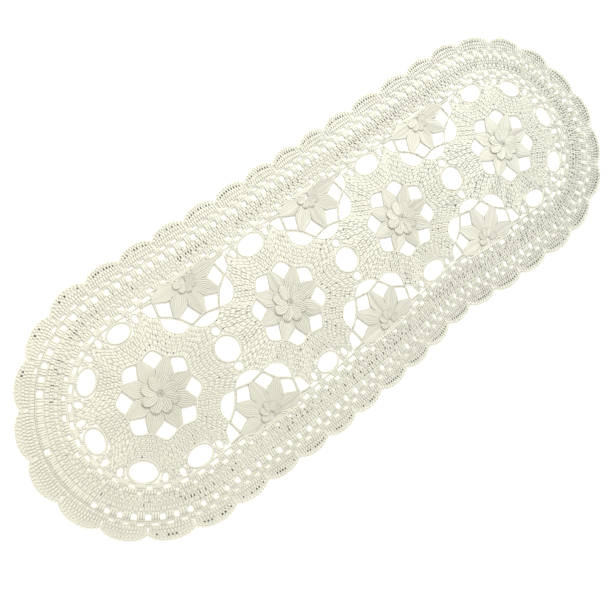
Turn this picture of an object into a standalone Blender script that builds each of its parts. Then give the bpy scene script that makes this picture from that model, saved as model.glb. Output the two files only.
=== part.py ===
"""A crochet table runner laid flat: four eight-pointed stars in a line, each round a flower, with half
flowers in the notches between them, and a border of net, square gaps and scalloped fans.

The lace is one flat solid whose larger gaps are cut right through. The second layer of petals on each
flower is a solid of its own, lying on the first. X runs along the runner, Z is up, and the runner lies
on Z = 0. Sizes are in metres, and angles in degrees.
"""

import math

import bmesh
import bpy

# Driving dimensions
PITCH = 0.195  # from the centre of one whole flower to the next
FLOWERS = 4
THICKNESS = 0.002  # of the cotton lace, pressed flat
TIP_RADIUS = 0.1625  # from the spine, the line through the outer flowers' centres, to the fans' tips
VALLEY_RADIUS = 0.1520  # from the spine to the notches between the fans
FANS = 43
SQUARES_PER_FAN = 3
CLEARANCE = 0.0003  # between the lace and the petals that lie on it
COTTON = (0.80, 0.77, 0.66, 1.0)
PETAL_COTTON = (0.83, 0.80, 0.69, 1.0)

# Places worked out from them
HALF_SPINE = PITCH * (FLOWERS - 1) / 2
HALF_FLOWER_Y = 0.093
JOINTS_X = [PITCH * (i - (FLOWERS - 2) / 2) for i in range(FLOWERS - 1)]
FLOWERS_X = [PITCH * (i - (FLOWERS - 1) / 2) for i in range(FLOWERS)]

# Gaps about a flower, as distance from its centre and angle from the gap's own middle line
PETALS = 8
PETAL_STEP = 360 / PETALS
KITE = ((0.0275, 0), (0.037, 13), (0.0435, 17), (0.0495, 4), (0.0495, -4), (0.0435, -17), (0.037, -13))
LENS = ((0.0448, 0), (0.0536, 20), (0.0585, 12), (0.0605, 0), (0.0585, -12), (0.0536, -20))
MIDDLE_LENS = ((0.0448, 0), (0.0536, 20), (0.0563, 12), (0.0572, 0), (0.0563, -12), (0.0536, -20))
SIDE_LENS = ((0.0450, -2), (0.0536, -20), (0.0590, -12), (0.0605, -2), (0.0555, 2), (0.0475, 2))

# Oval and round gaps, as half widths along and across the direction in which they face
OVAL = {"away": 0.0842, "along": 0.0118, "across": 0.0172, "points": 12}
END_OVAL = {"away": 0.0842, "along": 0.0112, "across": 0.0160, "points": 12}
BESIDE_OVAL = {"away": 0.0855, "along": 0.0050, "across": 0.0046, "points": 6, "sideways": 0.0262}
ABOVE_OVAL = {"away": 0.1015, "along": 0.0021, "across": 0.0060, "points": 6, "sideways": 0.0125}
JOINT_ROUND = {"along": 0.0165, "across": 0.0165, "points": 14}
JOINT_HOLE = {"away": 0.0245, "along": 0.0056, "across": 0.0055, "points": 8}

# The border: its square gaps, the points of each fan's arc, and how much of a circle the arc is
SQUARE_RADIUS = 0.1320
SQUARE_SIDE = 0.0084
FAN_POINTS = 7
FAN_BEND = 0.93

# Raised ribs of the star rounds: the first and the last round, at the petals' angles and between them
RIBS = 4
RIB_NOTCH = (0.0500, 0.0665)
RIB_POINT = (0.0585, 0.0885)
RIB_WIRE = 0.0012
RIB_PROUD = 0.0007

# Raised petals, as distance from the flower's centre and share of the step to the next petal
ROSETTE_LIFT = 0.0016
ROSETTE_EDGE = 0.0005
ROSETTE = {"reach": 0.0210, "root": 0.0120, "turn": 17.0, "petals": 8}
HALF_ROSETTE = {"reach": 0.0150, "root": 0.0085, "petals": 5}
PETAL_OUTLINE = ((0.0, 0.0), (0.14, 0.62), (0.34, 0.93), (0.5, 1.0), (0.66, 0.93), (0.86, 0.62))

WELD = 0.00001  # how close a cap's points lie to the sides that they are joined to
FLAT_ANGLE = 0.001  # faces that turn by less than this, in radians, are one
FILL_SCALE = 1000  # outlines are drawn this much larger, because a flat curve's fill joins close points

# How unevenly the hand-made lace lies: places about which it is pushed, how far round, and how much
UNEVEN = (
    # x, y, reach along x, reach along y, push along x, push along y
    (-0.050, 0.140, 0.300, 0.035, 0.0000, -0.0060),
    (0.118, -0.135, 0.070, 0.080, 0.0000, 0.0105),
    (-0.140, -0.150, 0.110, 0.100, 0.0000, -0.0075),
    (0.452, 0.043, 0.050, 0.050, -0.0080, -0.0020),
    (0.415, 0.110, 0.050, 0.050, -0.0060, -0.0055),
    (0.349, 0.155, 0.050, 0.050, -0.0025, -0.0070),
    (0.419, -0.114, 0.035, 0.035, 0.0035, -0.0032),
    (-0.442, -0.010, 0.090, 0.085, -0.0080, 0.0000),
    (-0.380, -0.090, 0.075, 0.075, -0.0060, -0.0010),
    (0.205, 0.000, 0.070, 0.070, 0.0000, 0.0050),
    (-0.150, 0.000, 0.070, 0.070, 0.0000, -0.0040),
    (0.000, -0.095, 0.050, 0.050, 0.0040, -0.0030),
    (0.170, -0.150, 0.120, 0.040, -0.0160, 0.0000),
    (0.095, 0.150, 0.080, 0.040, -0.0090, 0.0000),
)


def laid(point):
    """Where a point of the even pattern lies once the lace is laid unevenly."""
    x, y = point
    shift_x = 0.0
    shift_y = 0.0
    for at_x, at_y, reach_x, reach_y, push_x, push_y in UNEVEN:
        share = math.exp(-(((x - at_x) / reach_x) ** 2) - ((y - at_y) / reach_y) ** 2)
        shift_x += share * push_x
        shift_y += share * push_y
    return x + shift_x, y + shift_y


def polar(centre, distance, angle):
    """The point at this distance and angle from a centre."""
    turn = math.radians(angle)
    return centre[0] + distance * math.cos(turn), centre[1] + distance * math.sin(turn)


def gap_about(centre, facing, outline):
    """An outline given as distances and angles, turned to face one way from a centre."""
    return [polar(centre, distance, facing + angle) for distance, angle in outline]


def ellipse(centre, facing, size, sideways=0.0):
    """An elliptical gap some way from a centre, with one half width along the way it faces."""
    away = size.get("away", 0.0)
    turn = math.radians(facing)
    points = []
    for i in range(size["points"]):
        phase = 2 * math.pi * (i + 0.5) / size["points"]
        along = away + size["along"] * math.cos(phase)
        across = sideways + size["across"] * math.sin(phase)
        x = centre[0] + along * math.cos(turn) - across * math.sin(turn)
        y = centre[1] + along * math.sin(turn) + across * math.cos(turn)
        points.append((x, y))
    return points


def round_runner(share, radius):
    """The point this share of the way round the border, at a distance from the spine."""
    along = 4 * HALF_SPINE / (4 * HALF_SPINE + 2 * math.pi * SQUARE_RADIUS)
    side = 1 if share % 1 < 0.5 else -1
    share = share % 0.5
    if share <= along / 2:
        x = -HALF_SPINE + 2 * HALF_SPINE * share / (along / 2)
        return side * x, side * radius
    angle = 90 - 180 * (share - along / 2) / (0.5 - along / 2)
    x, y = polar((HALF_SPINE, 0.0), radius, angle)
    return side * x, side * y


def fan_outline():
    """The runner's edge: an arc for each fan, rising from the notches to the tip."""
    points = []
    for fan in range(FANS):
        for i in range(FAN_POINTS):
            share = i / FAN_POINTS
            rise = math.sqrt(1 - FAN_BEND * (2 * share - 1) ** 2)
            lowest = math.sqrt(1 - FAN_BEND)
            height = (rise - lowest) / (1 - lowest)
            radius = VALLEY_RADIUS + (TIP_RADIUS - VALLEY_RADIUS) * height
            points.append(round_runner((fan + share) / FANS, radius))
    return points


def square_gaps():
    """The round of square gaps inside the fans."""
    squares = FANS * SQUARES_PER_FAN
    half = SQUARE_SIDE / 2
    half_share = half / (4 * HALF_SPINE + 2 * math.pi * SQUARE_RADIUS)
    corners = ((-1, -1), (-1, 1), (1, 1), (1, -1))
    gaps = []
    for i in range(squares):
        middle = i / squares
        gaps.append([round_runner(middle + a * half_share, SQUARE_RADIUS + b * half) for a, b in corners])
    return gaps


def kite_gaps():
    """The gaps between the petals of the whole flowers."""
    gaps = []
    for x in FLOWERS_X:
        for i in range(PETALS):
            gaps.append(gap_about((x, 0.0), (i + 0.5) * PETAL_STEP, KITE))
    return gaps


def half_flower_gaps():
    """The gaps between the petals of the half flowers, and the lens-shaped ones outside their ring."""
    gaps = []
    for x in JOINTS_X:
        for side in (1, -1):
            centre = (x, side * HALF_FLOWER_Y)
            inward = -90 * side
            for i in (-1.5, -0.5, 0.5, 1.5):
                gaps.append(gap_about(centre, inward + i * PETAL_STEP, KITE))
            gaps.append(gap_about(centre, inward, MIDDLE_LENS))
            for hand in (1, -1):
                gaps.append(gap_about(centre, inward + hand * PETAL_STEP, LENS))
                turned = [(distance, hand * angle) for distance, angle in SIDE_LENS]
                gaps.append(gap_about(centre, inward + hand * 2 * PETAL_STEP, turned))
    return gaps


def joint_gaps():
    """The round gap where two stars meet, with a small hole above and below it."""
    gaps = []
    for x in JOINTS_X:
        gaps.append(ellipse((x, 0.0), 0, JOINT_ROUND))
        for facing in (90, -90):
            gaps.append(ellipse((x, 0.0), facing, JOINT_HOLE))
    return gaps


def oval_gaps():
    """The ovals in the outer notches of the stars, with the smaller gaps beside and above each."""
    gaps = []
    for i, x in enumerate(FLOWERS_X):
        ways = [90, -90]
        if i == 0:
            ways += [135, 180, 225]
        if i == FLOWERS - 1:
            ways += [45, 0, -45]
        for facing in ways:
            size = END_OVAL if facing in (0, 180) else OVAL
            gaps.append(ellipse((x, 0.0), facing, size))
            for hand in (1, -1):
                for extra in (BESIDE_OVAL, ABOVE_OVAL):
                    gaps.append(ellipse((x, 0.0), facing, extra, hand * extra["sideways"]))
    return gaps


def rib_loop(x, share):
    """One zigzag round of a star, this share of the way from the first round to the last."""
    notch = RIB_NOTCH[0] + share * (RIB_NOTCH[1] - RIB_NOTCH[0])
    point = RIB_POINT[0] + share * (RIB_POINT[1] - RIB_POINT[0])
    loop = []
    for i in range(2 * PETALS):
        loop.append(polar((x, 0.0), point if i % 2 else notch, i * PETAL_STEP / 2))
    return loop


def rosette_outline(centre, size, first_angle):
    """The edge of a ring of raised petals, from the root between two petals over each tip."""
    step = PETAL_STEP
    points = []
    for petal in range(size["petals"]):
        for share, rise in PETAL_OUTLINE:
            distance = size["root"] + rise * (size["reach"] - size["root"])
            points.append(polar(centre, distance, first_angle + (petal + share) * step))
    if size["petals"] < PETALS:
        points.append(polar(centre, size["root"], first_angle + size["petals"] * step))
    return points


def material(name, colour):
    """Matt cotton of one colour."""
    cotton = bpy.data.materials.new(name)
    cotton.use_nodes = True
    shader = cotton.node_tree.nodes["Principled BSDF"]
    shader.inputs["Base Color"].default_value = colour
    shader.inputs["Roughness"].default_value = 0.9
    shader.inputs["Metallic"].default_value = 0.0
    return cotton


def flat_curve(name, loops, bottom, thickness, edge=0.0):
    """Flat plates of one thickness with these closed outlines, their sides drawn in at top and bottom."""
    curve = bpy.data.curves.new(name, "CURVE")
    curve.dimensions = "2D"
    curve.fill_mode = "BOTH"
    curve.extrude = (thickness / 2 - edge) * FILL_SCALE
    curve.bevel_depth = edge * FILL_SCALE
    curve.bevel_resolution = 0
    curve.offset = -edge * FILL_SCALE
    for loop in loops:
        spline = curve.splines.new("POLY")
        spline.points.add(len(loop) - 1)
        for point, (x, y) in zip(spline.points, loop):
            point.co = (x * FILL_SCALE, y * FILL_SCALE, 0.0, 1.0)
        spline.use_cyclic_u = True
    plate = bpy.data.objects.new(name, curve)
    plate.scale = (1 / FILL_SCALE,) * 3
    plate.location.z = bottom + thickness / 2
    return plate


def wire_curve(name, loops, radius, height):
    """Closed loops of four-sided wire at one height."""
    curve = bpy.data.curves.new(name, "CURVE")
    curve.dimensions = "3D"
    curve.bevel_depth = radius
    curve.bevel_resolution = 0
    for loop in loops:
        spline = curve.splines.new("POLY")
        spline.points.add(len(loop) - 1)
        for point, place in zip(spline.points, loop):
            point.co = (*place, 0.0, 1.0)
        spline.use_cyclic_u = True
    wire = bpy.data.objects.new(name, curve)
    wire.location.z = height
    return wire


def made_mesh(curve_object, collection):
    """Replaces a curve object by a mesh of the same shape and place, with its caps welded on."""
    bpy.context.scene.collection.objects.link(curve_object)
    bpy.context.view_layer.update()
    graph = bpy.context.evaluated_depsgraph_get()
    mesh = bpy.data.meshes.new_from_object(curve_object.evaluated_get(graph))
    name = curve_object.name
    place = curve_object.matrix_world.copy()
    bpy.data.objects.remove(curve_object)
    mesh.transform(place)
    shape = bmesh.new()
    shape.from_mesh(mesh)
    bmesh.ops.remove_doubles(shape, verts=shape.verts, dist=WELD)
    bmesh.ops.dissolve_limit(shape, angle_limit=FLAT_ANGLE, verts=shape.verts, edges=shape.edges)
    bmesh.ops.recalc_face_normals(shape, faces=shape.faces)
    shape.to_mesh(mesh)
    shape.free()
    mesh.name = name
    solid = bpy.data.objects.new(name, mesh)
    collection.objects.link(solid)
    return solid


def with_material(solid, cotton):
    """Gives a solid its one material."""
    solid.data.materials.clear()
    solid.data.materials.append(cotton)
    return solid


def change_with(solid, other, operation):
    """Cuts or joins a solid with another shape, which itself isn't shown."""
    other.hide_render = True
    other.display_type = "WIRE"
    change = solid.modifiers.new(other.name, "BOOLEAN")
    change.operation = operation
    change.solver = "EXACT"
    change.object = other


def make_runner():
    """Builds the lace and the raised petals on it."""
    for old in list(bpy.data.objects):
        bpy.data.objects.remove(old)
    parts = bpy.data.collections.new("crochet_table_runner")
    shapes = bpy.data.collections.new("cutters_and_ribs")
    bpy.context.scene.collection.children.link(parts)
    bpy.context.scene.collection.children.link(shapes)

    edge = [laid(point) for point in fan_outline()]
    middle_x = (min(x for x, _ in edge) + max(x for x, _ in edge)) / 2
    middle_y = (min(y for _, y in edge) + max(y for _, y in edge)) / 2

    def settled(loop):
        """A loop of the even pattern as it lies, about the middle of the runner."""
        places = [laid(point) for point in loop]
        return [(x - middle_x, y - middle_y) for x, y in places]

    lace = made_mesh(flat_curve("lace", [settled(fan_outline())], 0.0, THICKNESS), parts)
    with_material(lace, material("cotton_lace", COTTON))
    gaps = kite_gaps() + half_flower_gaps() + joint_gaps() + oval_gaps() + square_gaps()
    loops = [settled(loop) for loop in gaps]
    cutters = made_mesh(flat_curve("gaps", loops, -THICKNESS, 3 * THICKNESS), shapes)
    change_with(lace, cutters, "DIFFERENCE")
    ribs = [settled(rib_loop(x, i / (RIBS - 1))) for x in FLOWERS_X for i in range(RIBS)]
    wires = made_mesh(wire_curve("star_ribs", ribs, RIB_WIRE, THICKNESS + RIB_PROUD - RIB_WIRE), shapes)
    change_with(lace, wires, "UNION")

    petal_cotton = material("cotton_petals", PETAL_COTTON)
    bottom = THICKNESS + CLEARANCE
    for number, x in enumerate(FLOWERS_X, 1):
        outline = settled(rosette_outline((x, 0.0), ROSETTE, ROSETTE["turn"]))
        plate = flat_curve(f"rosette_{number}", [outline], bottom, ROSETTE_LIFT, ROSETTE_EDGE)
        with_material(made_mesh(plate, parts), petal_cotton)
    number = 0
    for x in JOINTS_X:
        for side in (1, -1):
            number += 1
            first = -90 * side - HALF_ROSETTE["petals"] / 2 * PETAL_STEP
            outline = settled(rosette_outline((x, side * HALF_FLOWER_Y), HALF_ROSETTE, first))
            plate = flat_curve(f"half_rosette_{number}", [outline], bottom, ROSETTE_LIFT, ROSETTE_EDGE)
            with_material(made_mesh(plate, parts), petal_cotton)


make_runner()
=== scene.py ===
import bpy
import numpy as np
from mathutils import Matrix, Vector


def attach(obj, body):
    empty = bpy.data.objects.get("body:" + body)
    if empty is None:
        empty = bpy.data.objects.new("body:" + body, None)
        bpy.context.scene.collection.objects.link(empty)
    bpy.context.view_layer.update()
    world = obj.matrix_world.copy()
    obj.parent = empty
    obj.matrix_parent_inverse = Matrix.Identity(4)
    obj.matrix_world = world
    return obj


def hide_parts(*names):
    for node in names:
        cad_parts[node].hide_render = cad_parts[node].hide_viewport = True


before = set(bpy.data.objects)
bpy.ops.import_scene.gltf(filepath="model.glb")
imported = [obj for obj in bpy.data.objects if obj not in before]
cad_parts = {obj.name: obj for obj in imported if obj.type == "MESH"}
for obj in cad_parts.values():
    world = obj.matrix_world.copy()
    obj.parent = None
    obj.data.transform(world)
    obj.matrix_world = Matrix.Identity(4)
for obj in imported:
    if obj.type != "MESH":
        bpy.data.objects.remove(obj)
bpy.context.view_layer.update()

scene = bpy.context.scene
mm = 0.001

# The pattern, in metres, before the hand-made lace is laid unevenly
runner = {
    "pitch": 0.195,  # from one whole flower to the next
    "flowers": 4,
    "fans": 43,
    "squaresPerFan": 3,
    "squareRadius": 0.1320,
    "tip": 0.1625,  # fans' tips, from the spine
    "valley": 0.1520,  # notches between the fans
    "fanBend": 0.93,  # 1 would make its edge a whole half ellipse
    "halfFlowerY": 0.093,
}
halfSpine = runner["pitch"] * (runner["flowers"] - 1) / 2  # the spine runs through the whole flowers
flowersX = runner["pitch"] * (np.arange(runner["flowers"]) - (runner["flowers"] - 1) / 2)
jointsX = runner["pitch"] * (np.arange(runner["flowers"] - 1) - (runner["flowers"] - 2) / 2)
roundLength = 4 * halfSpine + 2 * np.pi * runner["squareRadius"]

# Where the lace is pushed out of its even pattern, in mm: x, y, reach along x and y, push along x and y
pushes = mm * np.array((
    (-50, 140, 300, 35, 0, -6),
    (118, -135, 70, 80, 0, 10.5),
    (-140, -150, 110, 100, 0, -7.5),
    (452, 43, 50, 50, -8, -2),
    (415, 110, 50, 50, -6, -5.5),
    (349, 155, 50, 50, -2.5, -7),
    (419, -114, 35, 35, 3.5, -3.2),
    (-442, -10, 90, 85, -8, 0),
    (-380, -90, 75, 75, -6, -1),
    (205, 0, 70, 70, 0, 5),
    (-150, 0, 70, 70, 0, -4),
    (0, -95, 50, 50, 4, -3),
    (170, -150, 120, 40, -16, 0),
    (95, 150, 80, 40, -9, 0),
))


def pushed(points):
    # each point moves by the sum of bell-shaped pushes, exp(-(dx/reachX)^2 - (dy/reachY)^2) times the push
    away = points[..., None, :2] - pushes[:, 0:2]
    share = np.exp(-((away / pushes[:, 2:4]) ** 2).sum(axis=-1))
    moved = points.copy()
    moved[..., :2] += share @ pushes[:, 4:6]
    return moved


def stadium(share, radius):
    # the place this share of the way round the border, at a distance from the spine:
    # a straight side, a half circle, and the same two again turned about the middle
    share, radius = np.broadcast_arrays(share, radius)
    along = 4 * halfSpine / roundLength
    side = np.where(share % 1 < 0.5, 1, -1)
    part = share % 0.5
    straight = part <= along / 2
    straightX = -halfSpine + 2 * halfSpine * part / (along / 2)
    angle = np.pi / 2 - np.pi * (part - along / 2) / (0.5 - along / 2)
    x = np.where(straight, straightX, halfSpine + radius * np.cos(angle))
    y = np.where(straight, radius, radius * np.sin(angle))
    return np.stack([side * x, side * y], axis=-1)


def fanHeight(phase):
    # how high the scalloped edge stands at a share of the way across a fan, 0 to 1: an arc of an ellipse
    rise = np.sqrt(1 - runner["fanBend"] * (2 * phase - 1) ** 2)
    lowest = np.sqrt(1 - runner["fanBend"])
    return (rise - lowest) / (1 - lowest)


edgeShare = np.arange(runner["fans"] * 7) / 7
edgeRadius = runner["valley"] + (runner["tip"] - runner["valley"]) * fanHeight(edgeShare % 1)
edgePlaces = pushed(stadium(edgeShare / runner["fans"], edgeRadius))
middle = (edgePlaces.min(axis=0) + edgePlaces.max(axis=0)) / 2

relief = {"height": 0.0007, "alongX": 31, "alongY": 37, "slant": 9}  # the lace rises by 0 to twice the height


def laid(points):
    # the uneven lace, centred; it is lifted a little in long soft waves, 1 + sin times sin
    points = pushed(points)
    x, y = points[..., 0], points[..., 1]
    wave = 1 + np.sin(relief["alongX"] * x + 1.3) * np.sin(relief["alongY"] * y + 0.6 + relief["slant"] * x)
    points[..., 2] += relief["height"] * wave
    points[..., :2] -= middle
    return points


rng = np.random.default_rng(43)


class Yarn:
    # gathers tubes of yarn, which are then made one mesh
    def __init__(self):
        self.points, self.quads, self.uvs, self.tones, self.caps = [], [], [], [], {}
        self.count = 0

    def add(self, rings, tone):
        # rings has the shape tubes, rings, sides, 3; u runs round a tube and v along it in millimetres
        tubes, number, sides, _ = rings.shape
        index = np.arange(tubes * number * sides).reshape(tubes, number, sides) + self.count
        following = np.roll(index, -1, axis=2)
        quads = np.stack([index[:, :-1], following[:, :-1], following[:, 1:], index[:, 1:]], axis=-1)
        steps = np.linalg.norm(np.diff(rings.mean(axis=2), axis=1), axis=-1) / mm
        along = np.concatenate([np.zeros((tubes, 1)), np.cumsum(steps, axis=1)], axis=1)
        u = np.arange(sides) / sides
        shape = (tubes, number - 1, sides)
        low, high = along[:, :-1, None], along[:, 1:, None]
        us = np.stack([np.broadcast_to(u + k / sides, shape) for k in (0, 1, 1, 0)], axis=-1)
        vs = np.stack([np.broadcast_to(v, shape) for v in (low, low, high, high)], axis=-1)
        self.quads.append(quads.reshape(-1, 4))
        self.uvs.append(np.stack([us, vs], axis=-1).reshape(-1, 2))
        self.caps.setdefault(sides, []).append(np.concatenate([index[:, 0, ::-1], index[:, -1]]))
        self.points.append(rings.reshape(-1, 3))
        self.tones.append(np.broadcast_to(tone, index.shape).ravel())
        self.count += index.size

    def piece(self, name, cotton, area):
        # one mesh object of all the tubes gathered so far; area is what they cover, laid flat
        points = np.concatenate(self.points)
        rises = points[:, 2] / mm
        points = laid(points)
        quads = np.concatenate(self.quads)
        faces, sizes, uvs = [quads.ravel()], [np.full(len(quads), 4)], list(self.uvs)
        for sides, caps in self.caps.items():
            caps = np.concatenate(caps)
            faces.append(caps.ravel())
            sizes.append(np.full(len(caps), sides))
            uvs.append(np.zeros((caps.size, 2)))
        corners, sizes = np.concatenate(faces), np.concatenate(sizes)
        mesh = bpy.data.meshes.new(name)
        mesh.vertices.add(len(points))
        mesh.vertices.foreach_set("co", points.ravel())
        mesh.loops.add(len(corners))
        mesh.loops.foreach_set("vertex_index", corners.astype(np.int32))
        mesh.polygons.add(len(sizes))
        mesh.polygons.foreach_set("loop_start", (np.cumsum(sizes) - sizes).astype(np.int32))
        mesh.polygons.foreach_set("loop_total", sizes.astype(np.int32))
        # Flat ends keep the sides' shading even
        mesh.polygons.foreach_set("use_smooth", np.arange(len(sizes)) < len(quads))
        mesh.update(calc_edges=True)
        mesh.uv_layers.new(name="yarn").data.foreach_set("uv", np.concatenate(uvs).ravel())
        # tone is the yarn's lightness less its painted crevice shade; rise, its height, lets the material
        # paint shade on low yarn
        for attribute, values in (("tone", np.concatenate(self.tones)), ("rise", rises)):
            mesh.attributes.new(attribute, "FLOAT", "POINT").data.foreach_set("value", values)
        mesh.validate()
        mesh.materials.append(cotton)
        thing = bpy.data.objects.new(name, mesh)
        scene.collection.objects.link(thing)
        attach(thing, "root")
        surface = np.zeros(len(sizes))
        mesh.polygons.foreach_get("area", surface)
        print(name, "triangles", int((sizes - 2).sum()), "share", round(surface.sum() / 2 / area, 2))
        return thing


def deep(places, height):
    # gives flat places a height; a place that has one already gains it
    shape = np.shape(places)
    places = np.concatenate([places, np.zeros((*shape[:-1], 3 - shape[-1]))], axis=-1)
    places[..., 2] += height
    return places


def tubeRings(middles, across, halfWidth, halfHeight, sides, turn=0.0):
    # rings of an ellipse: middle plus across times cos plus up times sin, turned a little from ring to ring
    angle = 2 * np.pi * np.arange(sides) / sides + (np.pi / 2 if sides == 3 else 0)
    side = np.cos(angle) * halfWidth[..., None]
    rise = np.sin(angle) * halfHeight[..., None]
    turn = np.broadcast_to(turn, halfWidth.shape)[..., None]
    turned = side * np.cos(turn) - rise * np.sin(turn)
    lifted = side * np.sin(turn) + rise * np.cos(turn)
    up = np.array((0.0, 0.0, 1.0))
    return middles[..., None, :] + across[..., None, :] * turned[..., None] + up * lifted[..., None]


def flatSide(ahead):
    # the level direction to the left of the way ahead
    side = np.stack([-ahead[..., 1], ahead[..., 0], np.zeros(ahead.shape[:-1])], axis=-1)
    return side / np.maximum(np.linalg.norm(side, axis=-1, keepdims=True), 1e-9)


wobble = 0.04 * mm  # how much the height of one stitch strays from the next
post = {
    "width": 2.9 * mm, "height": 0.95 * mm, "level": 1.0 * mm, "bow": 0.15 * mm,
    "sizes": (0.86, 1.03, 0.84),  # how full it is at its base, in its middle and at its top
    "tone": 0.71, "spread": 0.08,  # how light its yarn is, and how much that varies
    "flank": 0.8,  # painted shade on its flanks, in the crevice between two stitches
    "ends": 0.0,  # painted shade at its two ends
}
sideShade = np.array((1.0, 0.0, 0.85, 1.0, 1.0))  # painted shade round a tube of five sides; none at the second, its crown
flankShade = np.array((1.0, 1.0, 0.25, 0.4))[:, None]  # how strong the painted shade on a post's flanks is, from its base to its top
# how strong the painted shade at a post's two ends is, from its base to its top
endShade = np.array((1.0, 0.25, 0.0, 0.9))[:, None]


def addPosts(yarn, base, top, **changes):
    # a post is a tube from base to top, t from 0 to 1, fullest near its middle and bowed by sin(pi t)
    look = {**post, **changes}
    base, top = deep(base, 0), deep(top, 0)
    number = len(base)
    width = look["width"] * rng.uniform(0.93, 1.07, number)
    height = look["height"] * rng.uniform(0.93, 1.07, number)
    low, full, high = look["sizes"]
    t = np.array((-0.03, 0.22, 0.55, 1.03))
    size = np.array((low, (low + full) / 2, full, high))
    ahead = top - base
    middles = base[:, None] + ahead[:, None] * t[:, None]
    rise = look["level"] + look["bow"] * np.sin(np.pi * np.clip(t, 0, 1))
    middles[..., 2] += rise + rng.normal(0, wobble, (number, 1))
    across = np.repeat(flatSide(ahead)[:, None], len(t), axis=1)
    twist = rng.uniform(0.1, 0.3, (number, 1)) * (t - 0.5)
    halfWidth, halfHeight = width[:, None] / 2 * size, height[:, None] / 2 * size
    rings = tubeRings(middles, across, halfWidth, halfHeight, len(sideShade), twist)
    # painted shade in the crevices between posts and at their ends, taken off their tone
    crevice = np.maximum(look["flank"] * flankShade * sideShade, look["ends"] * endShade)
    tone = np.clip(look["tone"] + rng.normal(0, look["spread"], (number, 1, 1)), 0, 1)
    yarn.add(rings, tone * (1 - crevice))


# Specks: bits of dark, low yarn, painted shadow in gaps that would be in shade
shadowSpeck = {
    "look": {"height": 0.4 * mm, "level": 0.45 * mm, "bow": 0, "tone": 0.05, "spread": 0.1},
    "patches": 0.25,  # how much the chance of one varies from place to place
    "plain": (-0.455, -0.035), "plainReach": 0.11, "plainChance": 0.03,  # the end with hardly any
}


def addShadowSpecks(yarn, first, last, usual, width, lean=1.1):
    # painted shadow: dark, low yarn behind some gaps of a row; chance = usual (1 + lean x / 0.45) + patches
    # sin times sin
    x, y = first[:, 0], first[:, 1]
    patches = shadowSpeck["patches"] * np.sin(61 * x + 2) * np.sin(53 * y + 1 + 17 * x)
    chance = usual * (1 + lean * x / 0.45) + patches
    plain = np.linalg.norm(first - shadowSpeck["plain"], axis=1) < shadowSpeck["plainReach"]
    keep = rng.uniform(0, 1, len(first)) < np.where(plain, shadowSpeck["plainChance"], chance)
    addPosts(yarn, first[keep], last[keep], width=width, **shadowSpeck["look"])


chain = {"width": 2.1 * mm, "height": 0.95 * mm, "level": 1.15 * mm, "sides": 3, "tone": 0.85, "spread": 0.08}


def addChain(yarn, path, closed=False, keep=None, **changes):
    # a chain is a row of drops, each a little aslant, that start thin, swell and close over the next one
    look = {**chain, **changes}
    path = deep(path, 0)
    first = path if closed else path[:-1]
    last = np.roll(path, -1, axis=0) if closed else path[1:]
    if keep is not None:
        first, last = first[keep], last[keep]
    number = len(first)
    t = np.array((-0.14, 0.48, 1.10))
    aside = np.array((-0.08, 0.0, 0.08)) * look["width"]
    half = np.array((0.30, 0.43, 0.32)) * look["width"]
    thick = np.array((0.34, 0.50, 0.36)) * look["height"]
    rise = np.array((-0.10, 0.08, -0.04)) * look["height"]
    ahead = last - first
    side = flatSide(ahead)
    across = np.repeat(side[:, None], len(t), axis=1)
    middles = first[:, None] + ahead[:, None] * t[:, None] + side[:, None] * aside[:, None]
    middles[..., 2] += look["level"] + rise + rng.normal(0, wobble, (number, 1))
    ones = np.ones((number, 1))
    rings = tubeRings(middles, across, ones * half, ones * thick, look["sides"])
    yarn.add(rings, np.clip(look["tone"] + rng.normal(0, look["spread"], (number, 1, 1)), 0, 1))


def evenly(count, aside=0.5):
    # that many shares of a way, one step apart, the first one aside by this part of a step
    return (np.arange(count) + aside) / count


def pathLength(path):
    # the sum of the lengths of a path's steps
    return np.linalg.norm(np.diff(path, axis=0), axis=1).sum()


def chainAlong(yarn, path, link=2.7 * mm, closed=False, **more):
    # a chain along any path, with its links at equal lengths along it
    path = np.concatenate([path, path[:1]]) if closed else path
    reach = np.concatenate([[0], np.cumsum(np.linalg.norm(np.diff(path, axis=0), axis=1))])
    count = max(3, round(reach[-1] / link))
    wanted = reach[-1] * (evenly(count, 0) if closed else np.linspace(0, 1, count + 1))
    nodes = np.stack([np.interp(wanted, reach, column) for column in path.T], axis=1)
    addChain(yarn, nodes, closed=closed, **more)


def fromPolar(centre, angle, away, aside=0.0):
    # places away from a centre at an angle in degrees, and aside from that line, by cos and sin of the angle
    turn = np.radians(angle)
    x = centre[0] + away * np.cos(turn) - aside * np.sin(turn)
    y = centre[1] + away * np.sin(turn) + aside * np.cos(turn)
    return np.stack([x, y], axis=-1)


def pairShares(count, squeeze, shift=0):
    # shares of a row at which its posts stand, drawn together in pairs with a small hole after each pair
    step = np.arange(count)
    return (step + 0.5 + np.where((step + shift) % 2 == 0, squeeze, -squeeze)) / count


def ringArea(inner, outer):
    # the area between two closed outlines, each half of the sum of x dy - y dx
    total = 0
    for path, sign in ((outer, 1), (inner, -1)):
        x, y = path[:, 0], path[:, 1]
        total += sign * abs((x * np.roll(y, -1) - y * np.roll(x, -1)).sum()) / 2
    return total


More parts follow.
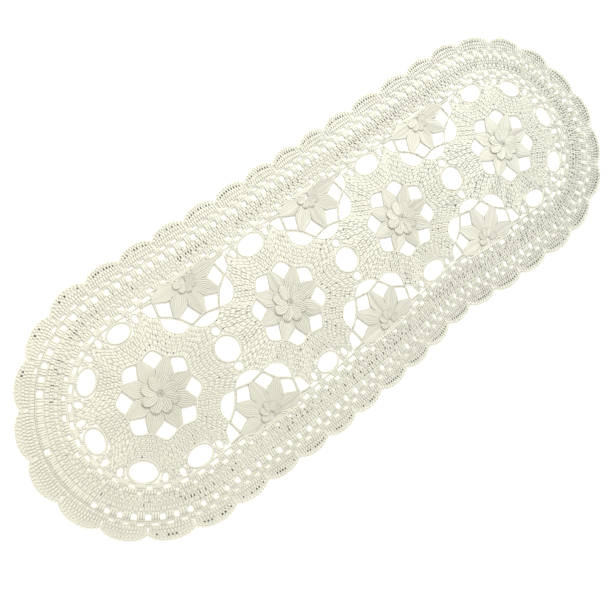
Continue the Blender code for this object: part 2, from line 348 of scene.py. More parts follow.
# Stars: rounds of posts between the ring about the flower and the star's outline
star = {
    "rounds": 6, "stitch": 3.6 * mm, "squeeze": 0.09,
    "perSector": 24,  # places on the outline in each of a star's 16 sectors
    "post": {"width": 3.15 * mm, "height": 0.42 * mm, "bow": 0.05 * mm, "sizes": (0.9, 1.05, 0.6),
             "tone": 0.85, "flank": 0.3, "ends": 0.75},
    "chain": {"width": 1.9 * mm, "height": 0.7 * mm, "level": 1.4 * mm, "tone": 1.0},
    "specks": {"usual": 0.32, "width": 2.0 * mm, "lean": 1.3},
    "speckPlace": 0.74,  # how far through a round the specks of painted shadow lie
    "speckLength": 0.6,  # of a stitch
}
innerRing = np.array(((0, 44.8), (5.7, 45.0), (18, 50.7), (22.5, 51.8)))  # degrees from a petal, millimetres


def mirrored(rows):
    # rows that start in the middle, with the same rows at minus their angles before them
    return [(-angle, radius) for angle, radius in rows[:0:-1]] + list(rows)


outlines = {  # degrees from the notch and millimetres from the flower's centre
    "oval": mirrored(((0, 70.8), (5, 71.4), (10, 73.4), (14.5, 77.6), (17, 82.0), (19.5, 88.0),
                      (22.5, 96.0))),
    "joint": mirrored(((0, 79.3), (5, 80.4), (9, 84.3), (11, 89.0), (12, 92.6), (14.8, 93.4), (17.5, 96.0),
                       (19, 101.0), (20.5, 98.6), (22.5, 94.3))),
    "half": ((-22.5, 94.3), (-21.8, 92.8), (-18.5, 90.6), (-15.8, 89.2), (-14.6, 88.4), (-13.2, 82.8),
             (-11.6, 76.8), (-7.5, 73.0), (-2.5, 71.9), (2.5, 72.5), (6.9, 75.6), (9.3, 81.0),
             (10.5, 86.8), (11.6, 87.6), (15.5, 87.4), (19.4, 89.2), (22.5, 96.4)),
}


def notchKinds(number):
    # what each of a star's eight notches faces
    left, right = [("joint", "half") if neighbour else ("oval", "oval")
                   for neighbour in (number > 0, number < runner["flowers"] - 1)]
    return [right[0], right[1], "oval", left[1], left[0], left[1], "oval", right[1]]


def starOutline(number):
    # the star's outline as a radius for each angle, from its notches' tables, two of them the other way round
    angles, radii = [], []
    for k, kind in enumerate(notchKinds(number)):
        table = np.array(outlines[kind])
        if kind == "half" and k in (3, 7):
            table = table[::-1] * (-1, 1)
        angles.append(45 * k + table[:, 0])
        radii.append(table[:, 1] * mm)
    angles, radii = np.concatenate(angles), np.concatenate(radii)
    order = np.argsort(angles, kind="stable")
    return angles[order], radii[order]


def starRounds(number):
    # round k at an angle lies at inner + (outer - inner) k / rounds, from the petals' ring to the outline
    size = 16 * star["perSector"]
    angle = 360 * np.arange(size + 1) / size
    outAngle, outRadius = starOutline(number)
    outer = np.interp(angle, outAngle, outRadius, period=360)
    fold = np.abs((angle + 22.5) % 45 - 22.5)
    inner = np.interp(fold, *innerRing.T) * mm
    shares = np.arange(star["rounds"] + 1) / star["rounds"]
    return [fromPolar((flowersX[number], 0), angle, inner + (outer - inner) * s) for s in shares]


def slopeReach(part):
    # distance along one sector, where a step counts as the root of its length times its level width
    step = np.diff(part, axis=0)
    length = np.linalg.norm(step, axis=1)
    chord = part[-1] - part[0]
    level = np.abs(step @ chord) / np.linalg.norm(chord)
    return np.concatenate([[0], np.cumsum(np.sqrt(length * np.maximum(level, 0.2 * length)))])


def sectorOf(curve, k):
    # the part of a star's closed curve that lies in sector k, both ends included
    size = star["perSector"]
    return curve[k * size:(k + 1) * size + 1]


def sectorSteps(curve, counts, shares):
    # places on a closed curve of 16 sectors: each sector has its count, and shares gives where they lie in it
    found = []
    for k, count in enumerate(counts):
        part = sectorOf(curve, k)
        reach = slopeReach(part)
        wanted = shares(count) * reach[-1]
        found.append(np.stack([np.interp(wanted, reach, part[:, j]) for j in (0, 1)], axis=1))
    return np.concatenate(found)


def addStar(yarn, number):
    # a round: posts in loose pairs, a chain on top, specks of painted shadow between; every other round is
    # half a stitch aside
    rounds = starRounds(number)
    for turn, (base, top) in enumerate(zip(rounds[:-1], rounds[1:])):
        lengths = [slopeReach(sectorOf(top, k))[-1] for k in range(16)]
        counts = [2 * max(2, round(length / star["stitch"] / 2)) for length in lengths]
        offset = turn % 2 * 0.5

        def pairs(count):
            return pairShares(count, star["squeeze"], turn // 2) + offset / count

        def steps(aside):
            return lambda count: evenly(count, aside)

        addPosts(yarn, sectorSteps(base, counts, pairs), sectorSteps(top, counts, pairs), **star["post"])
        addChain(yarn, sectorSteps(top, counts, steps(0)), closed=True, **star["chain"])
        below = base + (top - base) * star["speckPlace"]
        first = sectorSteps(below, counts, steps(offset))
        last = sectorSteps(below, counts, steps(offset + star["speckLength"]))
        addShadowSpecks(yarn, first, last, **star["specks"])
    chainAlong(yarn, rounds[0][:-1], closed=True, sides=4, width=3.4 * mm, tone=0.6)
    return rounds


# The gaps between a star and the border, in millimetres: away from the flower along a notch, and aside
oval = {"away": 84.2, "halves": (11.8, 17.2), "endHalves": (11.2, 16.0), "rim": 1.1}
beside = {"away": 87.2, "aside": 25.4, "along": 5.6, "across": 3.6, "rim": 0.9}  # at an oval's two ends
ovalSizes = {  # how large each oval gap is beside its size in the model: star, notch
    (0, 2): 0.84, (0, 3): 0.87, (0, 4): 0.90, (0, 5): 0.96, (0, 6): 0.92, (1, 2): 1.06, (1, 6): 0.88,
    (2, 2): 1.03, (2, 6): 1.02, (3, 2): 0.95, (3, 1): 0.90, (3, 0): 0.90, (3, 7): 0.86, (3, 6): 0.90,
}
web = {"from": 73.0, "to": 97.0, "row": 3.7, "post": 2.9, "border": 0.0972, "halfFlower": 0.0614,
       "ovalRoom": 2.6, "besideRoom": 1.8, "rimWidth": 2.7, "smallWidth": 2.2}


def ovalHalves(number, k):
    # half the length of an oval gap along its notch and across it
    return np.array(oval["endHalves" if k in (0, 4) else "halves"]) * ovalSizes[number, k]


def notchPlaces(number, k, away, aside):
    # places by their distance along a notch's middle line and aside from it, in millimetres
    return fromPolar((flowersX[number], 0), 45 * k, away * mm, aside * mm)


def ellipsePath(number, k, away, aside, along, across):
    # an ellipse in a notch: away + along cos and aside + across sin
    phase = np.linspace(0, 2 * np.pi, 72, endpoint=False)
    return notchPlaces(number, k, away + along * np.cos(phase), aside + across * np.sin(phase))


def spineDistance(places):
    # distance from the spine
    beyond = np.maximum(np.abs(places[..., 0]) - halfSpine, 0)
    return np.hypot(beyond, places[..., 1])


def halfFlowerDistance(places):
    # distance from the nearest half flower's middle
    dx = np.abs(places[..., 0, None] - jointsX).min(axis=-1)
    return np.hypot(dx, np.abs(places[..., 1]) - runner["halfFlowerY"])


def addWeb(yarn, number, k, kind):
    # short posts fill what lies between a star, its oval, the gaps beside that and the border's first chain
    along, across = ovalHalves(number, k) if kind == "oval" else (0, 0)
    outAngle, outRadius = starOutline(number)
    row = web["row"]
    base, top = [], []
    for low in np.arange(web["from"], web["to"], row):
        count = round(np.radians(45) * (low + row / 2) / web["post"])
        angle = 45 * (evenly(count) - 0.5)
        edge = np.interp(45 * k + angle, outAngle, outRadius, period=360) / mm
        free = np.ones(count, dtype=bool)
        for radius in (low + 0.2, low + row / 2, low + row - 0.2):
            away, aside = radius * np.cos(np.radians(angle)), radius * np.sin(np.radians(angle))
            room, small = web["ovalRoom"], web["besideRoom"]
            inOval = ((away - oval["away"]) / (along + room)) ** 2 + (aside / (across + room)) ** 2 < 1
            inGap = ((away - beside["away"]) / (beside["along"] + small)) ** 2 + \
                ((np.abs(aside) - beside["aside"]) / (beside["across"] + small)) ** 2 < 1
            places = notchPlaces(number, k, away, aside)
            if kind == "half":
                inOval = inGap = halfFlowerDistance(places) < web["halfFlower"]
            free &= ~inOval & ~inGap & (radius > edge + 0.3) & (spineDistance(places) < web["border"])
        for ends, radius in ((base, low), (top, low + row)):
            ends.append(fromPolar((flowersX[number], 0), 45 * k + angle[free], radius * mm))
    base, top = np.concatenate(base), np.concatenate(top)
    addPosts(yarn, base, top, width=web["post"] * mm, height=0.8 * mm)
    area = len(base) * web["post"] * row * mm ** 2
    if kind == "half":
        return area
    rim = ellipsePath(number, k, oval["away"], 0, along + oval["rim"], across + oval["rim"])
    chainAlong(yarn, rim, closed=True, sides=4, width=3.2 * mm, height=1.2 * mm, level=1.1 * mm, tone=0.65)
    area += pathLength(rim) * web["rimWidth"] * mm
    smallHalves = beside["along"] + beside["rim"], beside["across"] + beside["rim"]
    for hand in (1, -1):
        small = ellipsePath(number, k, beside["away"], hand * beside["aside"], *smallHalves)
        chainAlong(yarn, small, closed=True, width=2.6 * mm, tone=0.65)
        area += pathLength(small) * web["smallWidth"] * mm
    return area


# Petals of the flowers: long strands side by side, from the middle to the tip of a leaf shape
petal = {"strands": 8, "steps": 12, "bulge": 1.6, "from": 4.5, "to": 44.6, "height": 0.75 * mm,
         "overlap": 1.3, "centreHole": 2.9 * mm}
petalWidths = np.array((  # millimetres along a petal and its half width there
    (4.5, 2.0), (10, 4.3), (20, 8.3), (27, 10.4), (30, 9.8), (34, 7.7), (38, 5.8), (42, 4.1), (44.5, 1.4)))
petalLook = {"tone": 0.63, "toneSlope": 0.25, "flankSlope": -0.6}  # petals are paler towards the far end, and the painted shade between their strands is weaker there


def petalHalf(away):
    # half a petal's width, in metres, at a place in millimetres along it
    return np.interp(away, *petalWidths.T) * mm


def petalPoint(centre, facing, away, aside):
    # a place on a petal: away along its middle line, aside across it as a share of its half width there
    along = away + petal["bulge"] * (1 - aside ** 2) * np.clip(away / 20, 0, 1)
    return fromPolar(centre, facing, along * mm, petalHalf(away) * aside)


def addStrands(yarn, middles, halfWidth, height, centre, flank):
    # long tubes side by side, each swelling a little at random; middles has the shape strands, steps, 3
    ahead = np.gradient(middles, axis=1)
    swell = rng.uniform(0.9, 1.1, halfWidth.shape)
    halfHeight = np.full(halfWidth.shape, height / 2) * swell
    rings = tubeRings(middles, flatSide(ahead), halfWidth, halfHeight, len(sideShade))
    tone = petalLook["tone"] + petalLook["toneSlope"] * centre[0]
    # painted shade in the crevices between strands, taken off their tone
    crevice = (flank + petalLook["flankSlope"] * centre[0]) * sideShade
    yarn.add(rings, np.clip(tone + rng.normal(0, 0.08, (len(middles), 1, 1)), 0, 1) * (1 - crevice))


def addPetal(yarn, centre, facing):
    # strands at even shares of the petal's width, and a chain along each of its edges, darker as painted
    # shadow there
    count = petal["strands"]
    away, aside = np.meshgrid(np.linspace(petal["from"], petal["to"], petal["steps"]), 2 * evenly(count) - 1)
    middles = deep(petalPoint(centre, facing, away, aside), post["level"] + rng.normal(0, wobble, (count, 1)))
    halfWidth = np.maximum(petalHalf(away) / count * petal["overlap"], 0.7 * mm)
    addStrands(yarn, middles, halfWidth, petal["height"], centre, flank=0.55)
    edge = np.linspace(24, 43.5, 9)
    for hand in (1.0, -1.0):
        edgePath = petalPoint(centre, facing, edge, np.full(9, hand))
        chainAlong(yarn, edgePath, width=1.8 * mm, level=1.0 * mm, tone=0.45)


def addCentre(yarn, centre, level=0.0):
    # a ring of chain round the small hole in a flower's middle
    ring = fromPolar(centre, np.arange(0, 360, 10), petal["centreHole"])
    chainAlong(yarn, deep(ring, level), closed=True, link=2.2 * mm, width=1.8 * mm)


# The raised second layer of petals
raised = {"reach": 0.0225, "halfReach": 0.0150, "half": 0.0066, "level": 2.0 * mm, "tipLift": 0.6 * mm,
          "lean": 0.35 * mm, "strands": 5, "turn": 17.0, "everyOther": 0.3 * mm, "overlap": 1.2}


def addRaisedPetal(yarn, centre, facing, reach, lift=0.0):
    # an egg outline, away = 0.60 + 0.41 cos t and aside = half sin t, filled with strands;
    # its tip is lifted and it leans over the next one
    scale = reach / raised["reach"]
    count = raised["strands"]
    share, aside = np.meshgrid(np.linspace(0.16, 0.99, 9), 2 * evenly(count) - 1)
    half = raised["half"] * scale * np.sqrt(np.clip(1 - ((share - 0.60) / 0.42) ** 2, 0.03, 1))
    half = np.maximum(half, raised["half"] * scale * 0.45 * (share < 0.4))
    height = raised["level"] + lift + raised["tipLift"] * share ** 3 + raised["lean"] * aside
    middles = deep(fromPolar(centre, facing, reach * share, aside * half), height)
    halfWidth = np.maximum(half / count * raised["overlap"], 0.5 * mm)
    addStrands(yarn, middles, halfWidth, 0.6 * scale * mm, centre, flank=0.3)
    # the rim chain round it is darker, painted shadow along its raised edge
    turn = np.radians(np.linspace(-150, 150, 25))
    away = 0.60 + 0.41 * np.cos(turn)
    rim = deep(fromPolar(centre, facing, reach * away, raised["half"] * scale * np.sin(turn)), 0)
    rimLevel = raised["level"] - chain["level"] + 0.1 * mm + lift
    rim[:, 2] = rimLevel + raised["tipLift"] * away ** 3 + raised["lean"] * np.sin(turn)
    chainAlong(yarn, rim, link=2.6 * mm, width=1.5 * scale * mm, height=0.65 * mm, tone=0.5)
    return ringArea(rim[:1, :2], rim[:, :2]) + pathLength(rim) * 0.6 * scale * mm


# Border rounds: their radii in millimetres, from the spine
border = {
    "netRing": 97.1, "archRing": 103.6, "netTop": 109.9, "meshBase": 113.3, "meshTop": 118.1,
    "denseMiddle": 122.8, "denseTop": 128.8, "squareTop": 137.9, "slitBase": 139.4, "slitTop": 144.3,
}
stitch = 3.0 * mm
stepShare = 1 / roundLength  # the share for one metre


def roundCounts(radius, width):
    # how many stitches of one width go round at this radius, an even number
    length = 4 * halfSpine + 2 * np.pi * radius * mm
    return 2 * round(length / width / 2)


def ringChain(yarn, radius, countRadius, link=stitch, keepFrom=None, **more):
    # a chain round the whole runner, with as many links as fit round it at countRadius
    count = roundCounts(countRadius, link)
    keep = None if keepFrom is None else keepFrom(stadium(evenly(count), radius * mm))
    addChain(yarn, stadium(evenly(count, 0), radius * mm), closed=True, keep=keep, **more)


def ringPosts(yarn, low, high, share, keepFrom=None, **more):
    # posts from one round to the next at these shares of the way round
    base, top = stadium(share, low * mm), stadium(share, high * mm)
    if keepFrom is not None:
        keep = keepFrom((base + top) / 2)
        base, top = base[keep], top[keep]
    addPosts(yarn, base, top, **more)


def ringShadowSpecks(yarn, radius):
    # specks of painted shadow just inside a chain of the border, each as long as one stitch
    count = roundCounts(radius, 3.4 * mm)
    share = evenly(count, 0)
    inside = (radius - 1.1) * mm
    addShadowSpecks(yarn, stadium(share, inside), stadium(share + 1 / count, inside), usual=0.4, width=1.6 * mm)


def clearOfHalfFlowers(places):
    # true where a place isn't beside one of the half flowers
    away = np.abs(places[:, :1] - jointsX).min(axis=1)
    return (away > 0.040) | (np.abs(places[:, 0]) > halfSpine)


def groupShares(centres, posts, step):
    # a few posts side by side about each centre, with step in metres from one to the next
    return (centres[:, None] + (np.arange(posts) - (posts - 1) / 2) * (step * stepShare)).ravel()


def uneven(shares, amount):
    # shares that stray by a bell-shaped random amount, given in metres
    return shares + rng.normal(0, amount, len(shares)) * stepShare


def finishStrip(yarn, name, low, high, worked):
    # a border round as one piece: a strip as long as its middle line, and worked is its share without gaps
    length, height = 4 * halfSpine + np.pi * (low + high) * mm, (high - low) * mm
    finishPiece(yarn, name, "lace", worked * (length * height), cotton)


def finishPiece(yarn, name, node, area, thread):
    # makes the piece's mesh, with area what is left of it without its gaps, and hides the imported node of
    # this name
    piece = yarn.piece(name, thread, area)
    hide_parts(node)


def setInputs(node, values):
    # constants for some of a node's sockets
    for name, value in values.items():
        node.inputs[name].default_value = value


class Shade:
    # wraps a shader socket, so that sums and products are written as Python expressions
    def __init__(self, tree, socket=None):
        self.tree = tree
        self.socket = socket

    def node(self, kind, settings=None, sockets=None, output=0):
        # a new shader node with these settings and these values or links in its sockets
        made = self.tree.nodes.new("ShaderNode" + kind)
        for name, value in (settings or {}).items():
            setattr(made, name, value)
        for name, value in (sockets or {}).items():
            self.put(made.inputs[name], value)
        return Shade(self.tree, made.outputs[output])

    def other(self, output):
        # another output of the same node
        return Shade(self.tree, self.socket.node.outputs[output])

    def put(self, target, value):
        # links a socket, or sets it where the value is a number or a colour
        if isinstance(value, Shade):
            self.tree.links.new(value.socket, target)
        else:
            target.default_value = value

    def maths(self, kind, *values):
        return self.node("Math", {"operation": kind}, dict(enumerate(values)))

    def __add__(self, other):
        return self.maths("ADD", self, other)

    def __sub__(self, other):
        return self.maths("SUBTRACT", self, other)

    def __rsub__(self, other):
        return self.maths("SUBTRACT", other, self)

    def __mul__(self, other):
        return self.maths("MULTIPLY", self, other)

    def clamped(self):
        # held between 0 and 1
        return self.maths("MAXIMUM", self.maths("MINIMUM", self, 1.0), 0.0)

    def mixed(self, first, second):
        # a colour between two, by this value
        sockets = {"Factor": self, "A": first, "B": second}
        return self.node("Mix", {"data_type": "RGBA"}, sockets, "Result")


cottonLook = {
    "light": (0.87, 0.855, 0.713, 1),
    "warm": (0.715, 0.692, 0.57, 1),
    "far": (0.96, 0.96, 0.83, 1),  # the colour at the end that is far from the camera, paler than at the other end
    # the colour of all the painted shade
    "shadow": (0.11, 0.092, 0.06, 1),
    "patchScale": 11.0, "patchContrast": 1.2, "fibreScale": 2600.0,
    "plies": 3, "pitch": 2.6,  # millimetres of yarn for one turn of its plies
    "plyGroove": 0.06, "crevice": 0.6, "fibre": 0.05,  # painted shade in the plies' grooves and in crevices, and random fibre tone: how much each darkens the yarn
    "bump": 0.6, "bumpDepth": 0.00018, "roughness": 0.88, "sheen": 0.15,
}


def cottonMaterial(name, warmth):
    # twisted cotton: plies are 0.5 + 0.5 sin of three turns round it and one turn a pitch along it; far goes
    # from 0 to 1 along the runner, makes the colour paler and the painted shade darker; yarn under 1 mm high
    # gets painted shade
    material = bpy.data.materials.new(name)
    material.use_nodes = True
    shader = material.node_tree.nodes["Principled BSDF"]
    look = cottonLook
    start = Shade(material.node_tree)
    place = start.node("TexCoord", output="Object")
    around = start.node("SeparateXYZ", None, {0: place.other("UV")})
    along = around.other(1)
    turns = around * look["plies"] + along * (1 / look["pitch"])
    plies = start.maths("SINE", turns * (2 * np.pi)) * 0.5 + 0.5
    patches, fibre = [
        start.node("TexNoise", None, {"Vector": place, "Scale": look[scale], "Detail": 2.0})
        for scale in ("patchScale", "fibreScale")]
    rise, tone = [
        start.node("Attribute", {"attribute_name": attribute}, None, 2)
        for attribute in ("rise", "tone")]
    warm = ((patches - 0.5) * look["patchContrast"] + warmth).clamped()
    # far: 0 to 1 along the runner; it makes the colour paler and the painted shade stronger towards +x
    far = (start.node("SeparateXYZ", None, {0: place}) * 1.1 + 0.5).clamped()
    base = far.mixed(warm.mixed(look["light"], look["warm"]), look["far"])
    # painted shade: in grooves and crevices, stronger towards the far end, and on low yarn with a dark tone
    dark = (1.0 - tone) * (1.0 - tone)
    lowYarnShade = ((1.0 - rise) * (far * 3.2 + 1.6)).clamped() * dark
    grooveShadeAndFibre = (1.0 - plies) * look["plyGroove"] + dark * look["crevice"] + (fibre - 0.5) * look["fibre"]
    shaded = grooveShadeAndFibre * (far * 2.35 + 0.1) + lowYarnShade
    height = (plies + fibre * 0.35) * (far * 0.8 + 0.25)
    bump = start.node("Bump", None, {
        "Height": height, "Strength": look["bump"], "Distance": look["bumpDepth"]})
    start.put(shader.inputs["Base Color"], shaded.clamped().mixed(base, look["shadow"]))
    start.put(shader.inputs["Normal"], bump)
    setInputs(shader, {"Roughness": look["roughness"], "Sheen Weight": look["sheen"]})
    return material


cotton = cottonMaterial("cotton_thread", 0.3)
petalCotton = cottonMaterial("petal_thread", 0.9)
print("materials made")

for number in range(runner["flowers"]):
    yarn = Yarn()
    rounds = addStar(yarn, number)
    area = ringArea(rounds[0], rounds[-1]) + (pathLength(rounds[0]) * 1.3 + pathLength(rounds[-1]) * 0.9) * mm
    for k, kind in enumerate(notchKinds(number)):
        if kind != "joint":
            area += addWeb(yarn, number, k, kind)
    finishPiece(yarn, f"star_{number + 1}", "lace", area, cotton)
print("stars made")

# Whole flowers' ground petals
petalArea = 2 * np.trapz(petalWidths[:, 1] + 0.9, petalWidths[:, 0]) * mm ** 2  # with half a thread round it
for number, x in enumerate(flowersX, 1):
    yarn = Yarn()
    for k in range(8):
        addPetal(yarn, (x, 0), 45 * k)
    addCentre(yarn, (x, 0))
    finishPiece(yarn, f"flower_{number}", "lace", 8 * petalArea, petalCotton)

# Half flowers, with the zigzag chain round them and the threads at their ends
halfFlower = {
    "zigzag": ((0, 44.0), (22.5, 51.8), (45, 44.0), (67.5, 51.8), (90, 44.0), (91.5, 60.5)),  # degrees, mm
    "chain": {"sides": 4, "width": 3.5 * mm, "height": 1.4 * mm, "level": 1.0 * mm, "tone": 0.55},
    "rows": ((0.0, 0.5, 10, 2.4), (0.5, 1.0, 18, 2.6)),  # from, to, posts and their width in mm
    "inner": 5.5, "outer": 9.6,  # millimetres from the flower's middle to the border's first chain
    "otherArea": 0.00055 + 0.00065,  # the rows that fill the outer side, and the zigzag chain
}
halfPlaces = [((x, side * runner["halfFlowerY"]), -90 * side) for x in jointsX for side in (1, -1)]
turns, radii = np.array(mirrored(halfFlower["zigzag"])).T
for number, (centre, inward) in enumerate(halfPlaces, 1):
    yarn = Yarn()
    for k in range(-2, 3):
        addPetal(yarn, centre, inward + 45 * k)
    addCentre(yarn, centre)
    chainAlong(yarn, fromPolar(centre, inward + turns, radii * mm), **halfFlower["chain"])
    # Rows that fill the outer side, up to the border's first chain
    angle = np.linspace(-67.5, 67.5, 31)
    outer = halfFlower["outer"] / np.cos(np.radians(angle))
    for low, high, count, width in halfFlower["rows"]:
        here = np.interp(np.linspace(0, 30, count), np.arange(31), angle)
        reach = np.interp(here, angle, outer) - halfFlower["inner"]
        base, top = [fromPolar(centre, here - inward, (halfFlower["inner"] + reach * share) * mm)
                     for share in (low, high)]
        addPosts(yarn, base, top, width=width * mm)
        chainAlong(yarn, top)
    area = 5 * petalArea + halfFlower["otherArea"]
    finishPiece(yarn, f"half_flower_{number}", "lace", area, petalCotton)
print("flowers made")

# Raised petals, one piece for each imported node
for number, x in enumerate(flowersX, 1):
    yarn = Yarn()
    area = 0
    for k in range(8):
        facing = raised["turn"] + 45 * (k + 0.5)
        area += addRaisedPetal(yarn, (x, 0), facing, raised["reach"], raised["everyOther"] * (k % 2))
    addCentre(yarn, (x, 0), 1.2 * mm)
    finishPiece(yarn, f"raised_flower_{number}", f"rosette_{number}", area,
                petalCotton)
for number, (centre, inward) in enumerate(halfPlaces, 1):
    yarn = Yarn()
    area = sum(addRaisedPetal(yarn, centre, inward + 45 * k, raised["halfReach"]) for k in range(-2, 3))
    finishPiece(yarn, f"raised_half_flower_{number}", f"half_rosette_{number}",
                area, petalCotton)
print("raised petals made")

# Rims round the round gaps and the small holes between stars, then the open net
net = {
    "jointRim": {"sides": 4, "width": 3.6 * mm, "height": 1.3 * mm, "level": 1.1 * mm, "tone": 0.65},
    "chain": {"sides": 4, "width": 2.8 * mm},
    "archPosts": {"width": 2.7 * mm, "sizes": (1.2, 0.9, 1.2)},
    "archStep": 2.35 * mm,
    "topPosts": {"width": 3.4 * mm, "sizes": (1.1, 0.94, 1.1)},
    "topStep": 3.3 * mm,
    "posts": 4, "uneven": 0.6 * mm,
    "straightPitch": 0.0195,  # ten slits to a flower's pitch
    "bendSlits": 16,  # round each end
    "worked": 0.73,
}
yarn = Yarn()
for x in jointsX:
    circle = np.arange(0, 360, 6)
    chainAlong(yarn, fromPolar((x, 0), circle, 16.6 * mm), closed=True, **net["jointRim"])
    for side in (1, -1):
        hole = fromPolar((x, side * 24.5 * mm), circle, 6.3 * mm)
        chainAlong(yarn, hole, closed=True, width=3.0 * mm, tone=0.65)
        for y in np.array((31.6, 33.8)) * side * mm:
            chainAlong(yarn, np.array(((x - 2.4 * mm, y), (x + 2.4 * mm, y))), width=2.8 * mm)
bendPitch = np.pi * runner["squareRadius"] / net["bendSlits"]
straightCount = round(2 * halfSpine / net["straightPitch"])
straightSlits = np.concatenate([
    side * 0.5 + (np.arange(straightCount) + 0.5) * net["straightPitch"] * stepShare for side in (0, 1)])
bendSlits = np.concatenate([
    side * 0.5 + ((np.arange(net["bendSlits"]) + 0.5) * bendPitch + 2 * halfSpine) * stepShare
    for side in (0, 1)])


def netBlocks(low, high, straight, bend, step, keepFrom=None, **more):
    # blocks of posts that leave slits between them; they are wider round the ends, most of all the near one
    near, posts = bend > 0.75, net["posts"]
    groups = ((straight, posts, 1.0), (bend[~near], posts + 1, 1.0), (bend[near], posts + 1, 1.2))
    for shares, count, grow in groups:
        blocks = groupShares(uneven(shares, net["uneven"]), count, grow * step)
        ringPosts(yarn, low, high, blocks, keepFrom, **more)


ringChain(yarn, border["netRing"], 97.4, 2.8 * mm, clearOfHalfFlowers, tone=0.65, **net["chain"])
netBlocks(border["netRing"] + 0.8, border["archRing"] - 0.6,
          straightSlits + 0.5 * net["straightPitch"] * stepShare, bendSlits + 0.5 * bendPitch * stepShare,
          net["archStep"], clearOfHalfFlowers, **net["archPosts"])
ringChain(yarn, border["archRing"], 103.2, 2.8 * mm, **net["chain"])
netBlocks(border["archRing"] + 0.6, border["netTop"] - 0.6, straightSlits, bendSlits, net["topStep"],
          **net["topPosts"])
ringChain(yarn, border["netTop"], 109.6)
finishStrip(yarn, "net_rounds", 96, 110, net["worked"])
print("net made")

# Dense rounds: a low row, a row of pairs over small holes, and two tall rows
dense = {
    "lowRow": {"width": 3.0 * mm, "sizes": (0.86, 1.03, 0.6)},
    "meshRow": {"width": 2.8 * mm, "sizes": (0.86, 1.03, 0.7)},
    "meshStep": 2.5 * mm,
    "firstTall": {"width": 2.7 * mm},
    "secondTall": {"width": 3.1 * mm, "sizes": (0.86, 1.03, 0.6)},
    "specks": {"usual": 0.32, "width": 1.9 * mm, "lean": 0.7},
    "worked": 0.95,
}
yarn = Yarn()
pairs = pairShares(roundCounts(112, 3.1 * mm), 0.12)
ringPosts(yarn, border["netTop"] + 0.6, border["meshBase"] - 0.5, pairs, **dense["lowRow"])
ringShadowSpecks(yarn, border["meshBase"])
ringChain(yarn, border["meshBase"], 113.8)
holes = runner["fans"] * runner["squaresPerFan"] * 2
meshPairs = groupShares(evenly(holes), 2, dense["meshStep"])
ringPosts(yarn, border["meshBase"] + 0.5, border["meshTop"] - 0.5, meshPairs, **dense["meshRow"])
ringShadowSpecks(yarn, border["meshTop"])
ringChain(yarn, border["meshTop"], 117.8)
count = roundCounts(120, 3.7 * mm)
gaps = evenly(count, 0)
ringPosts(yarn, border["meshTop"] + 0.5, border["denseMiddle"] - 0.4, evenly(count), **dense["firstTall"])
addShadowSpecks(yarn, stadium(gaps, 118.4 * mm), stadium(gaps, 122.5 * mm), **dense["specks"])
ringChain(yarn, border["denseMiddle"], 123)
pairs = pairShares(roundCounts(125.5, 3.2 * mm), 0.1)
ringPosts(yarn, border["denseMiddle"] + 0.5, border["denseTop"] - 0.4, pairs, **dense["secondTall"])
ringShadowSpecks(yarn, border["denseTop"])
ringChain(yarn, border["denseTop"], 128.4, width=2.6 * mm)
finishStrip(yarn, "dense_rounds", 110, 128.5, dense["worked"])

# The round of squares and the round of slits; both are smaller towards the far end
square = {
    "smallFrom": 0.22, "smallTo": 0.70,  # shares of the way round
    "posts": (3, 2.95, 3.3), "smallPosts": (4, 2.55, 3.0),  # how many in a block, their step and their width
    "slitStep": 2.7, "smallSlitStep": 3.0,
    "shut": (113, 114, 115, 116, 118, 119, 120),  # squares at the left end that are worked shut
    "shutSlits": (111, 122), "shutStep": 2.6,
    "uneven": 0.3 * mm, "worked": 0.72,
}
yarn = Yarn()
squares = runner["fans"] * runner["squaresPerFan"]
blocks, middles = evenly(squares, 0), evenly(squares)
smaller = (middles > square["smallFrom"]) & (middles < square["smallTo"])
squareLow, squareHigh = border["denseTop"] + 0.5, border["squareTop"] - 0.4
for chosen, (posts, step, width) in ((~smaller, square["posts"]), (smaller, square["smallPosts"])):
    shares = groupShares(uneven(middles[chosen], square["uneven"]), posts, step * mm)
    ringPosts(yarn, squareLow, squareHigh, shares, width=width * mm, sizes=(1.12, 0.94, 1.12))
shutSquares = np.array(square["shut"]) / squares
ringPosts(yarn, squareLow, squareHigh, groupShares(shutSquares, 3, square["shutStep"] * mm))
ringChain(yarn, border["squareTop"], 138, width=2.5 * mm)
ringChain(yarn, border["slitBase"], 139.4, width=1.9 * mm)
slitLow, slitHigh = border["slitBase"] + 0.3, border["slitTop"] - 0.3
for chosen, step in ((~smaller, square["slitStep"]), (smaller, square["smallSlitStep"])):
    shares = groupShares(uneven(blocks[chosen], square["uneven"]), 3, step * mm)
    ringPosts(yarn, slitLow, slitHigh, shares, width=2.9 * mm, sizes=(1.25, 0.85, 1.25))
shutSlits = (np.arange(*square["shutSlits"]) + 0.5) / squares
ringPosts(yarn, slitLow, slitHigh, groupShares(shutSlits, 4, square["shutStep"] * mm))
ringChain(yarn, border["slitTop"], 144.2, width=2.5 * mm)
finishStrip(yarn, "square_round", 128.5, 144, square["worked"])

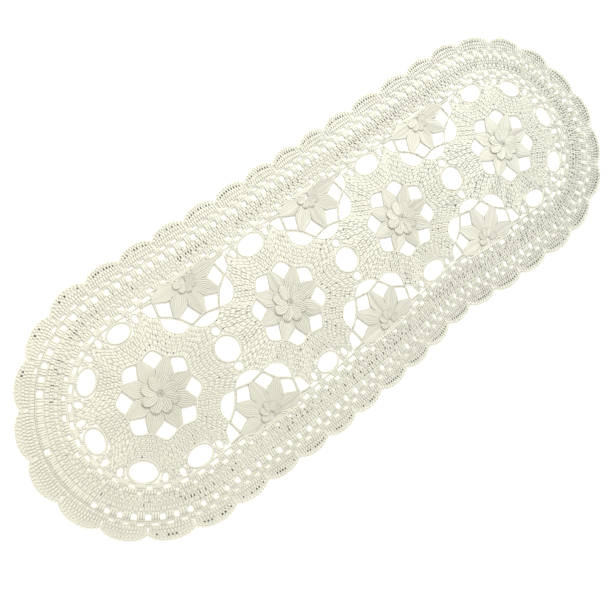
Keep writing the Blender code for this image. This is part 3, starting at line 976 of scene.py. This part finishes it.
# Fans: rows of posts that spread out of each fan's base, then a chain and small points along the edge
fan = {
    "rows": (  # where a row ends at the notches and in the middle of a fan, in mm, its posts and their width
        (145.0, 145.0, 0, 0),
        (147.0, 150.2, 14, 3.2),
        (148.8, 154.4, 13, 3.4),
        (150.4, 158.0, 12, 2.3),
        (151.8, 160.9, 13, 3.5),
    ),
    "chained": (2, 3),  # rows that end with a chain
    "speckedRow": 3,  # its posts are narrow, with specks of painted shadow in the gaps between them
    "specks": {"usual": 0.75, "width": 2.3 * mm, "lean": 0.45},
    "lineSpecks": {"usual": 0.45, "width": 1.7 * mm},
    "gather": 0.95,  # how much of a fan's width its rows take
    "points": 10,
    "worked": 0.85,
}
fans = np.arange(runner["fans"])


def fanLine(phase, low, high, gather=fan["gather"]):
    # places across every fan: the height grows from low at the notches to high in the middle as the edge does
    share = (fans[:, None] + 0.5 + (phase - 0.5) * gather) / runner["fans"]
    return stadium(share, (low + (high - low) * fanHeight(phase)) * mm).reshape(-1, 2)


def fanChain(low, high, count, gather=1.0, **more):
    # a chain along one height of every fan, left out between two fans
    path = fanLine(np.arange(count + 1) / count, low, high, gather)
    keep = np.ones(runner["fans"] * (count + 1) - 1, dtype=bool)
    if gather < 1:
        keep[count::count + 1] = False
    addChain(yarn, path, keep=keep, **more)


yarn = Yarn()
for row, (low, high, _, _) in enumerate(fan["rows"][:-1], 1):
    lowNext, highNext, count, width = fan["rows"][row]
    phase = evenly(count)
    base, top = fanLine(phase, low, high), fanLine(phase, lowNext, highNext)
    addPosts(yarn, base, top, width=width * mm, height=0.75 * mm)
    if row == fan["speckedRow"]:
        phase = np.arange(2, count - 1) / count
        addShadowSpecks(yarn, fanLine(phase, low, high), fanLine(phase, lowNext, highNext), **fan["specks"])
    elif row in fan["chained"]:
        first, last = [fanLine(phase / 15, lowNext - 0.5, highNext - 1.0)
                       for phase in (np.arange(3, 12), np.arange(4, 13))]
        addShadowSpecks(yarn, first, last, **fan["lineSpecks"])
    if row in fan["chained"]:
        fanChain(lowNext, highNext, 14, fan["gather"], width=1.7 * mm, height=0.7 * mm)
fanChain(151.8, 160.9, 18, sides=4, width=2.5 * mm)
phase = evenly(fan["points"])
base, top = fanLine(phase, 152.0, 160.9, 1.0), fanLine(phase, 153.3, 162.2, 1.0)
addPosts(yarn, base, top, width=2.6 * mm, height=1.2 * mm, level=1.2 * mm)
finishStrip(yarn, "fan_edge", 144, 162, fan["worked"])
print("border made")

# Floor, light and camera
stage = {
    "floor": (0.93, 0.905, 0.82, 1), "floorSize": 6.0, "floorLevel": -0.0002, "floorGlow": 0.24, "sky": 0.78,
    "lampPlace": (0.42, 0.92, 1.02), "lampSize": 0.9, "lampPower": 15.8,
}
scene.view_settings.view_transform = "Standard"
bpy.ops.mesh.primitive_plane_add(size=stage["floorSize"], location=(0, 0, stage["floorLevel"]))
floor = bpy.context.object
floor.name = "floor"
paper = bpy.data.materials.new("white_paper")
paper.use_nodes = True
setInputs(paper.node_tree.nodes["Principled BSDF"], {
    "Base Color": stage["floor"], "Roughness": 0.95, "Emission Color": (1, 1, 1, 1),
    "Emission Strength": stage["floorGlow"]})
floor.data.materials.append(paper)

world = bpy.data.worlds.new("soft_sky")
world.use_nodes = True
setInputs(world.node_tree.nodes["Background"], {"Color": (1, 1, 1, 1), "Strength": stage["sky"]})
scene.world = world

lamp = bpy.data.lights.new("key_lamp", "AREA")
lamp.shape = "SQUARE"
lamp.size = stage["lampSize"]
lamp.energy = stage["lampPower"]
lampObject = bpy.data.objects.new("key_lamp", lamp)
lampObject.location = stage["lampPlace"]
lampObject.rotation_euler = (-Vector(stage["lampPlace"])).to_track_quat("-Z", "Y").to_euler()
scene.collection.objects.link(lampObject)

# The photograph's camera: its place in the even pattern, its right and its way ahead
photo = {"place": (-0.5658, 0.1393, 1.1526), "right": (0.744, -0.544, 0.387),
         "ahead": (0.385, -0.125, -0.915), "lens": 60.4, "sensor": 36.0}
ahead = Vector(photo["ahead"]).normalized()
right = Vector(photo["right"])
right = (right - ahead * right.dot(ahead)).normalized()
up = right.cross(ahead)
camera = bpy.data.cameras.new("photo_camera")
camera.lens = photo["lens"]
camera.sensor_width = photo["sensor"]
cameraObject = bpy.data.objects.new("photo_camera", camera)
turn = Matrix((right, up, -ahead)).transposed().to_4x4()
cameraObject.matrix_world = Matrix.Translation(Vector(photo["place"]) - Vector((*middle, 0))) @ turn
scene.collection.objects.link(cameraObject)
scene.camera = cameraObject
print("stage made")
